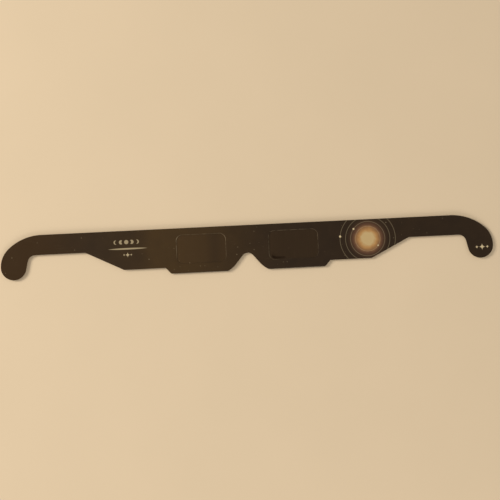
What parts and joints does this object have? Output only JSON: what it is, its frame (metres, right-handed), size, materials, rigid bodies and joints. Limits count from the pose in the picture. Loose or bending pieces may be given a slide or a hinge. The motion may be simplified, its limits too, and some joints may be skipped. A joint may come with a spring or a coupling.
{
  "type": "eclipse glasses",
  "caption": "Flat-folding card solar viewer: two dark film windows in a glued double-ply front with a nose notch, and creased temples ending in ear hooks.",
  "frame": {"origin": "middle of the glasses in plan, on the surface that they lie on", "axes": "+X along the glasses towards the right temple, +Y from the nose notch to the top edge, +Z out of the printed side"},
  "size_m": [0.412, 0.0378, 0.001],
  "materials": {
    "printed_card": "matte",
    "solar_film": "gloss",
    "adhesive": "matte"
  },
  "bodies": {
    "front": {"front_panel": "printed_card", "rear_panel": "printed_card", "bottom_fold_left": "printed_card", "bottom_fold_right": "printed_card", "filter_film_left": "solar_film", "filter_film_right": "solar_film", "adhesive_left": "adhesive", "adhesive_bridge": "adhesive", "adhesive_right": "adhesive", "crease_left": "printed_card", "crease_right": "printed_card"},
    "left_temple": {"temple_left": "printed_card"},
    "right_temple": {"temple_right": "printed_card"}
  },
  "joints": [
    {"name": "left_fold", "type": "hinge", "parent": "front", "child": "left_temple", "pos_m": [-0.07, 0, 0.00022], "axis": [0, -1, 0], "range_deg": [0, 179.99]},
    {"name": "right_fold", "type": "hinge", "parent": "front", "child": "right_temple", "pos_m": [0.07, 0, -0.00005], "axis": [0, 1, 0], "range_deg": [0, 179.99]}
  ]
}
